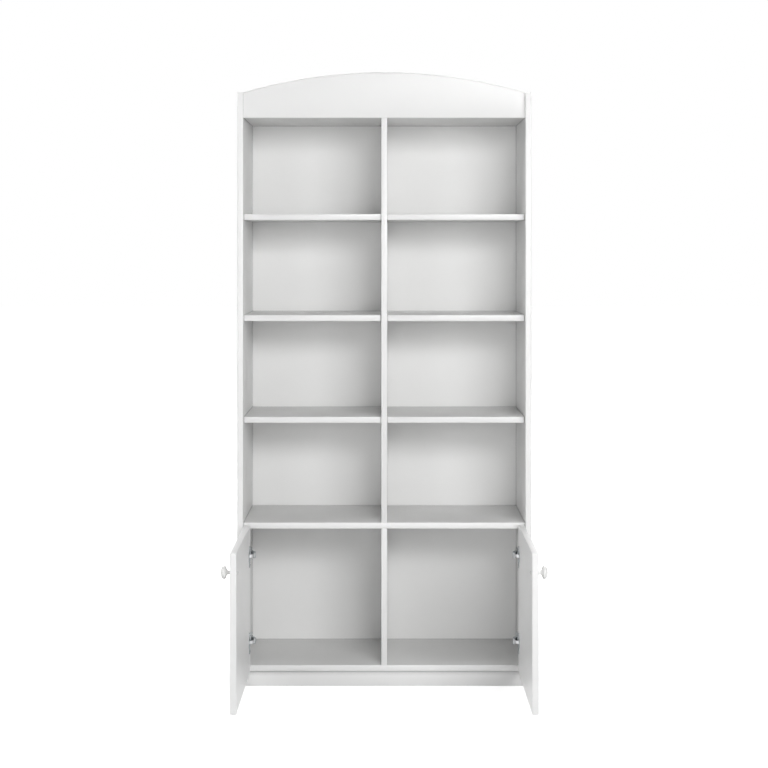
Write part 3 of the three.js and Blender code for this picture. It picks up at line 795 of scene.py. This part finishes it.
# A low domed head with a cross recess, on a short shank.
def makeScrewMesh(sizes):
    radius, rise, cross, shank, length = (sizes[key] for key in ("head", "rise", "cross", "shank", "length"))
    bm = bmesh.new()
    outline = [(0, -length), (shank, -length), (shank, 0)]
    outline += [(radius * across, rise * up) for across, up in screwHead["shares"]]
    spinOutline(bm, outline, screwHead["steps"])
    floor, top = rise * screwHead["recessFloorShare"], rise * screwHead["recessTopShare"]
    half = cross * screwHead["recessWidthShare"]
    for turn in screwHead["recessTurns"]:
        tool = bmesh.new()
        block(tool, (-cross, floor, -half), (cross, top, half))
        around = Matrix.Rotation(math.radians(turn), 3, "Y")
        bmesh.ops.rotate(tool, cent=(0, 0, 0), matrix=around, verts=tool.verts)
        paint(tool, 1)
        bm = combine(bm, tool, "DIFFERENCE", [zinc, darkSlot])
    return bm


def placeScrew(name, source, side, place, body, replaced=(), materials=(zinc, darkSlot)):
    bm = source.copy()
    finishPiece(name, bm, materials, body, replaced, sidePlace(side, place))


knobScrew = {"head": 0.004, "rise": 0.0024, "cross": 0.0022, "shank": 0.002, "length": 0.0279, "gap": 0.0003}
plateScrew = {"head": 0.0037, "rise": 0.0012, "cross": 0.0021, "shank": 0.0022, "length": 0.0019}
cupScrew = {"head": 0.0034, "rise": 0.0011, "cross": 0.0019, "shank": 0.0018, "length": 0.0009}
armScrew = {"head": 0.004, "rise": 0.002, "cross": 0.0023, "shank": 0.0022, "length": 0.0069}


# concealed hinges
cup = {
    "seat": 0.0003, "radius": 0.0172, "wall": 0.001, "depth": 0.0115,
    "rim": 0.019, "flange": 0.001, "wingThick": 0.002, "wing": 0.0065, "wingHalf": 0.0325,
    "wingSteps": 12, "wingEdge": 0.0003, "wingEdgeSteps": 2, "screwReach": 0.024, "mouthPlay": 0.0012,
    "mouthDepth": 0.01, "pinRadius": 0.0011, "pin": (0.008, 0.0135), "pinHalf": 0.0118, "pinSteps": 20,
    "steps": 64,
    # offsets in radius and height from the corner that each list rounds
    "underFloor": [(-0.001, 0), (0.0003, 0.0003)],
    "footRise": 0.0018,
    "underRim": [(-0.0002, 0), (0, 0.0003)],
    "overRim": [(-0.0001, -0.0003), (-0.0004, 0)],
    "lip": [(0.0006, 0), (0.0001, -0.0003), (0, -0.001)],
    "overFloor": [(0, 0.0030), (-0.0009, 0.0014), (-0.0024, 0.001)],
    "floorThick": 0.001,
}


def cupOutline(inner, floor, low, high):
    def rounding(radius, height, corner):
        return [(radius + across, height + up) for across, up in cup[corner]]

    return [
        (0, floor), *rounding(inner, floor, "underFloor"), (cup["radius"], floor + cup["footRise"]),
        (cup["radius"], low), *rounding(cup["rim"], low, "underRim"), *rounding(cup["rim"], high, "overRim"),
        *rounding(inner, high, "lip"), *rounding(inner, floor, "overFloor"), (0, floor + cup["floorThick"]),
    ]


def makeCup(word, side, level):
    height = hingeLevel(word, level)
    place = axisPlace @ openTurn @ Matrix.Translation((0, 0, height))
    inner = cup["radius"] - cup["wall"]
    floor = doorRear - cup["depth"]
    low, high = doorRear + cup["seat"], doorRear + cup["seat"] + cup["flange"]
    centre = door["cupCentre"]
    bm = bmesh.new()
    spinOutline(bm, cupOutline(inner, floor, low, high), cup["steps"], centre)
    wings = bmesh.new()
    half, reach = cup["wing"], cup["wingHalf"]
    wingTop = low + cup["wingThick"]
    block(wings, (centre - half, low, -reach), (centre + half, wingTop, reach))
    bevel(wings, edgesAlong(wings, alongAxis[1]), half * nearlyAll, cup["wingSteps"])
    onTop = [e for e in sharpEdges(wings) if all(v.co.y > wingTop - welded for v in e.verts)]
    bevel(wings, onTop, cup["wingEdge"], cup["wingEdgeSteps"])
    mouthPlace = Matrix.Translation((centre, high, 0)) @ quarterX
    mouth = cylinder(inner + cup["mouthPlay"], cup["mouthDepth"], cup["steps"], mouthPlace)
    wings = combine(wings, mouth, "DIFFERENCE", [nickel])
    bm = combine(bm, wings, "UNION", [nickel])
    pinPlace = Matrix.Translation((*cup["pin"], 0))
    pin = cylinder(cup["pinRadius"], cup["pinHalf"] * 2, cup["pinSteps"], pinPlace)
    bm = combine(bm, pin, "UNION", [nickel])
    name = f"{word}_{level}_hinge"
    finishPiece(
        name + "_bowl", bm, [nickel], "door_" + word, [name + "_cup"], sidePlace(side, place),
    )
    return place, wingTop


link = {
    "length": 0.0217, "bow": 0.0035, "half": 0.00145, "width": 0.0094, "eye": 0.0024, "end": 0.0023,
    "bore": 0.0014, "sleeve": 0.0143, "steps": 20, "eyeSteps": 32, "boreSteps": 24,
    # direction in degrees when the door is closed, and turn for each degree of the door
    "closed": -9.0, "ratio": 1.6278, "doorTravel": 90,
}


def makeLink(word, side, level):
    length, bow, half, width = (link[key] for key in ("length", "bow", "half", "width"))
    radius = (length ** 2 / 4 + bow ** 2) / (2 * bow)
    sweep = 2 * math.asin(length / 2 / radius)
    bm = bmesh.new()
    direction = Vector((-length / 2, radius - bow, 0)).normalized()
    across = [direction * half, direction * -half]
    corners = [(across[0], -1), (across[1], -1), (across[1], 1), (across[0], 1)]
    face = bm.faces.new([bm.verts.new(spot + Vector((0, 0, end * width / 2))) for spot, end in corners])
    bmesh.ops.spin(
        bm, geom=[face], cent=(length / 2, radius - bow, 0), axis=(0, 0, 1), angle=sweep, steps=link["steps"],
    )
    bmesh.ops.recalc_face_normals(bm, faces=bm.faces)
    for spot, size, run in ((0, link["eye"], width), (length, link["end"], link["sleeve"])):
        eye = cylinder(size, run, link["eyeSteps"], Matrix.Translation((spot, 0, 0)))
        bm = combine(bm, eye, "UNION", [nickel])
    bm = combine(bm, cylinder(link["bore"], width * 2, link["boreSteps"]), "DIFFERENCE", [nickel])
    pinLocal = Matrix.Translation((leftPin.x, leftPin.y, hingeLevel(word, level)))
    opened = link["closed"] + link["ratio"] * link["doorTravel"] - link["doorTravel"]
    turn = Matrix.Rotation(math.radians(opened), 4, "Z")
    name = f"{word}_{level}_hinge"
    finishPiece(
        name + "_swan_link", bm, [litLinkZinc], word + "_hinge_links", [name + "_link"],
        sidePlace(side, pinLocal @ turn),
    )


arm = {
    # side view of the channel, from the tip of the fork round its back to its tail
    "outer": [
        (0.0312, 0.0100), (0.0312, 0.0208), (0.0306, 0.0233), (0.0291, 0.0254), (0.0270, 0.0272),
        (0.0183, 0.0434), (0.0176, 0.0448), (0.0172, 0.0464), (0.0172, 0.0800), (0.0040, 0.0800),
        (0.0040, 0.0460), (0.0208, 0.0200), (0.0248, 0.0175), (0.0248, 0.0100), (0.0253, 0.0083),
        (0.0264, 0.0072), (0.0280, 0.0068), (0.0296, 0.0072), (0.0307, 0.0083),
    ],
    "inner": [
        (0.0332, 0.0), (0.0332, 0.0175), (0.0300, 0.0175), (0.0300, 0.0210), (0.0260, 0.0262),
        (0.0160, 0.0454), (0.0160, 0.0820), (0.0020, 0.0820), (0.0020, 0.0),
    ],
    "width": 0.018, "sheet": 0.0012, "fold": 0.0012, "foldSteps": 3, "seat": 0.0172,
    # where the channel's back is: above its seat, and beyond a line down its slope or on its nose
    "backStart": 0.0165, "noseStart": 0.0305, "slopeStart": 0.0465, "slope": 1.9, "foldStart": 0.012,
    "slotReach": 0.062, "slotHalf": 0.0026, "slotLength": 0.009, "slotDepth": 0.004, "slotSteps": 6,
    "rivet": (0.028, 0.010), "rivetRadius": 0.0021, "rivetTaper": 0.75, "rivetLength": 0.0006,
    "rivetRise": 0.0002, "rivetSteps": 24,
}


def onBack(vert):
    x, y = vert.co.x, vert.co.y
    past = x - arm["backStart"]
    beyond = x > arm["noseStart"] or y > arm["slopeStart"] - past * arm["slope"]
    return past > 0 and y > arm["foldStart"] and beyond


def makeArm(word, side, level):
    height = hingeLevel(word, level)
    place = axisPlace @ Matrix.Translation((0, 0, height))
    half = arm["width"] / 2
    bm = bmesh.new()
    extrudeOutline(bm, [(x, y, -half) for x, y in arm["outer"]], (0, 0, arm["width"]))
    folds = [
        e for e in sharpEdges(bm)
        if abs(e.verts[0].co.z - e.verts[1].co.z) < welded and all(onBack(v) for v in e.verts)
    ]
    bevel(bm, folds, arm["fold"], arm["foldSteps"])
    hollow = bmesh.new()
    inside = half - arm["sheet"]
    extrudeOutline(hollow, [(x, y, -inside) for x, y in arm["inner"]], (0, 0, inside * 2))
    bm = combine(bm, hollow, "DIFFERENCE", [nickel])
    slot = bmesh.new()
    wide, seat, depth = arm["slotHalf"], arm["seat"], arm["slotDepth"]
    start = arm["slotReach"] - wide
    block(slot, (seat - depth, start, -wide), (seat + depth, start + arm["slotLength"], wide))
    bevel(slot, edgesAlong(slot, alongAxis[0]), wide * nearlyAll, arm["slotSteps"])
    bm = combine(bm, slot, "DIFFERENCE", [nickel])
    radius = arm["rivetRadius"]
    for end in (-1, 1):
        outward = Matrix.Rotation(0 if end > 0 else math.pi, 4, "X")
        rivetPlace = Matrix.Translation((*arm["rivet"], end * (half + arm["rivetRise"]))) @ outward
        rivet = cylinder(
            radius, arm["rivetLength"], arm["rivetSteps"], rivetPlace, radius * arm["rivetTaper"],
        )
        bm = combine(bm, rivet, "UNION", [nickel])
    name = f"{word}_{level}_hinge"
    finishPiece(
        name + "_channel", bm, [nickel], "carcass", [name + "_arm"], sidePlace(side, place),
    )
    return place


plate = {
    "seat": -0.006, "base": 0.002, "baseHalf": 0.010, "front": 0.040, "rear": 0.078, "wingHalf": 0.024,
    "wingFront": 0.0485, "wingRear": 0.0615, "ridgeTop": 0.0159, "ridgeHalf": 0.005, "ridgeFront": 0.042,
    "ridgeRear": 0.076, "screwLine": 0.055, "screwReach": 0.016, "corner": 0.002, "cornerSteps": 4,
    "wingRound": 0.0062, "wingSteps": 8, "ridgeEdge": 0.0006, "rimEdge": 0.0004, "edgeSteps": 2,
}


def makePlate(word, side, level, place):
    seat, top = plate["seat"], plate["seat"] + plate["base"]
    bm = bmesh.new()
    block(bm, (seat, plate["front"], -plate["baseHalf"]), (top, plate["rear"], plate["baseHalf"]))
    bevel(bm, edgesAlong(bm, alongAxis[0]), plate["corner"], plate["cornerSteps"])
    wings = bmesh.new()
    block(wings, (seat, plate["wingFront"], -plate["wingHalf"]), (top, plate["wingRear"], plate["wingHalf"]))
    bevel(wings, edgesAlong(wings, alongAxis[0]), plate["wingRound"], plate["wingSteps"])
    ridge = bmesh.new()
    half = plate["ridgeHalf"]
    block(ridge, (seat, plate["ridgeFront"], -half), (plate["ridgeTop"], plate["ridgeRear"], half))
    onRidge = [e for e in sharpEdges(ridge) if all(v.co.x > 0 for v in e.verts)]
    bevel(ridge, onRidge, plate["ridgeEdge"], plate["edgeSteps"])
    bm = combine(bm, wings, "UNION", [nickel])
    rim = [e for e in sharpEdges(bm) if all(v.co.x > top - welded for v in e.verts)]
    bevel(bm, rim, plate["rimEdge"], plate["edgeSteps"])
    bm = combine(bm, ridge, "UNION", [nickel])
    name = f"{word}_{level}_hinge"
    finishPiece(
        name + "_base_plate", bm, [nickel], "carcass", [name + "_plate"],
        sidePlace(side, place),
    )
    return top


outOfSide = Matrix.Rotation(math.radians(-90), 4, "Z")  # turns a screw's +Y to +X
cupScrewMesh = makeScrewMesh(cupScrew)
plateScrewMesh = makeScrewMesh(plateScrew)
armScrewMesh = makeScrewMesh(armScrew)
knobScrewMesh = makeScrewMesh(knobScrew)
for word, side in sides:
    reach, height = makeDoor(word, side)
    makeKnob(word, side, reach, height)
    doorBody = "door_" + word
    place = axisPlace @ openTurn @ Matrix.Translation((reach, doorRear + knobScrew["gap"], height))
    placeScrew(
        f"knob_bolt_{word}", knobScrewMesh, side, place, doorBody, ["knob_screw_" + word],
        (whiteEnamel, paintedRecessGrey),
    )
    for level in levels:
        name = f"{word}_{level}_hinge"
        cupPlace, wingTop = makeCup(word, side, level)
        makeLink(word, side, level)
        armPlace = makeArm(word, side, level)
        plateTop = makePlate(word, side, level, armPlace)
        for end, label in ((-1, "low"), (1, "high")):
            spot = Matrix.Translation((door["cupCentre"], wingTop, end * cup["screwReach"]))
            place = cupPlace @ spot
            placeScrew(f"{name}_cup_screw_{label}", cupScrewMesh, side, place, doorBody)
            spot = Matrix.Translation((plateTop, plate["screwLine"], end * plate["screwReach"]))
            place = armPlace @ spot @ outOfSide
            placeScrew(f"{name}_plate_screw_{label}", plateScrewMesh, side, place, "carcass")
        place = armPlace @ Matrix.Translation((arm["seat"], arm["slotReach"], 0)) @ outOfSide
        placeScrew(
            f"{name}_clamp_screw", armScrewMesh, side, place, "carcass", [name + "_arm_screw"],
        )
for source in (cupScrewMesh, plateScrewMesh, armScrewMesh, knobScrewMesh):
    source.free()
print("doors and hinges ready")


# caps over the assembly screws, and wall brackets
cap = {
    "radius": 0.0062, "rise": 0.0009, "steps": 32,
    # shares of its radius and rise, from the middle of its foot to the middle of its top
    "shares": [(0, 0), (1, 0), (1, 0.35), (0.95, 0.75), (0.8, 1), (0, 1.1)],
}


def makeCap(screwNode, side):
    low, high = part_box(screwNode)
    outer = low[0] if side < 0 else high[0]
    bm = bmesh.new()
    outline = [(cap["radius"] * across, cap["rise"] * up) for across, up in cap["shares"]]
    spinOutline(bm, outline, cap["steps"])
    turn = Matrix.Rotation(math.radians(90 if side < 0 else -90), 4, "Z")
    place = Matrix.Translation((outer, (low[1] + high[1]) / 2, (low[2] + high[2]) / 2)) @ turn
    finishPiece(screwNode + "_cover", bm, [whitePlastic], "carcass", (), place)


bracket = {
    "sheet": 0.002, "bend": 0.003, "bendSteps": 6, "innerSteps": 4, "corner": 0.004, "cornerSteps": 5,
    "hole": 0.0026, "holeInset": 0.012, "holeDepth": 0.01, "holeSteps": 32,
}


def makeBracket(word, side):
    node = "wall_bracket_" + word
    low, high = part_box(node)
    sheet, rear = bracket["sheet"], high[1]
    innerRear, innerFloor = rear - sheet, low[2] + sheet
    profile = [
        (low[0], low[1], low[2]), (low[0], rear, low[2]), (low[0], rear, high[2]),
        (low[0], innerRear, high[2]), (low[0], innerRear, innerFloor), (low[0], low[1], innerFloor),
    ]
    bm = bmesh.new()
    extrudeOutline(bm, profile, (high[0] - low[0], 0, 0))
    for y, z, size, steps in (
        (rear, low[2], bracket["bend"], bracket["bendSteps"]),
        (innerRear, innerFloor, bracket["bend"] - sheet, bracket["innerSteps"]),
    ):
        fold = edgesAlong(bm, alongAxis[0], lambda p: abs(p.y - y) < touching and abs(p.z - z) < touching)
        bevel(bm, fold, size, steps)
    tips = edgesAlong(bm, alongAxis[1], lambda p: p.z > high[2] - touching)
    tips += edgesAlong(bm, alongAxis[2], lambda p: p.y < low[1] + touching)
    bevel(bm, tips, bracket["corner"], bracket["cornerSteps"])
    middle = (low[0] + high[0]) / 2
    holes = (
        (Vector((middle, rear, high[2] - bracket["holeInset"])), quarterX),
        (Vector((middle, low[1] + bracket["holeInset"], low[2])), Matrix.Identity(4)),
    )
    for spot, turn in holes:
        hole = cylinder(
            bracket["hole"], bracket["holeDepth"], bracket["holeSteps"], Matrix.Translation(spot) @ turn,
        )
        bm = combine(bm, hole, "DIFFERENCE", [zinc])
    finishPiece(f"angle_bracket_{word}", bm, [zinc], "carcass", [node])
    place = Matrix.Translation((middle, low[1] + bracket["holeInset"], innerFloor)) @ quarterX
    screw = makeScrewMesh(cupScrew)
    finishPiece(f"bracket_screw_{word}", screw, [zinc, darkSlot], "carcass", (), place)


screwedPanels = ("top", "cabinet_top", "bottom")
for word, side in sides:
    for panel in screwedPanels:
        for end in ("front", "rear"):
            makeCap(f"{panel}_screw_{word}_{end}", side)
    makeBracket(word, side)
print("fittings ready")
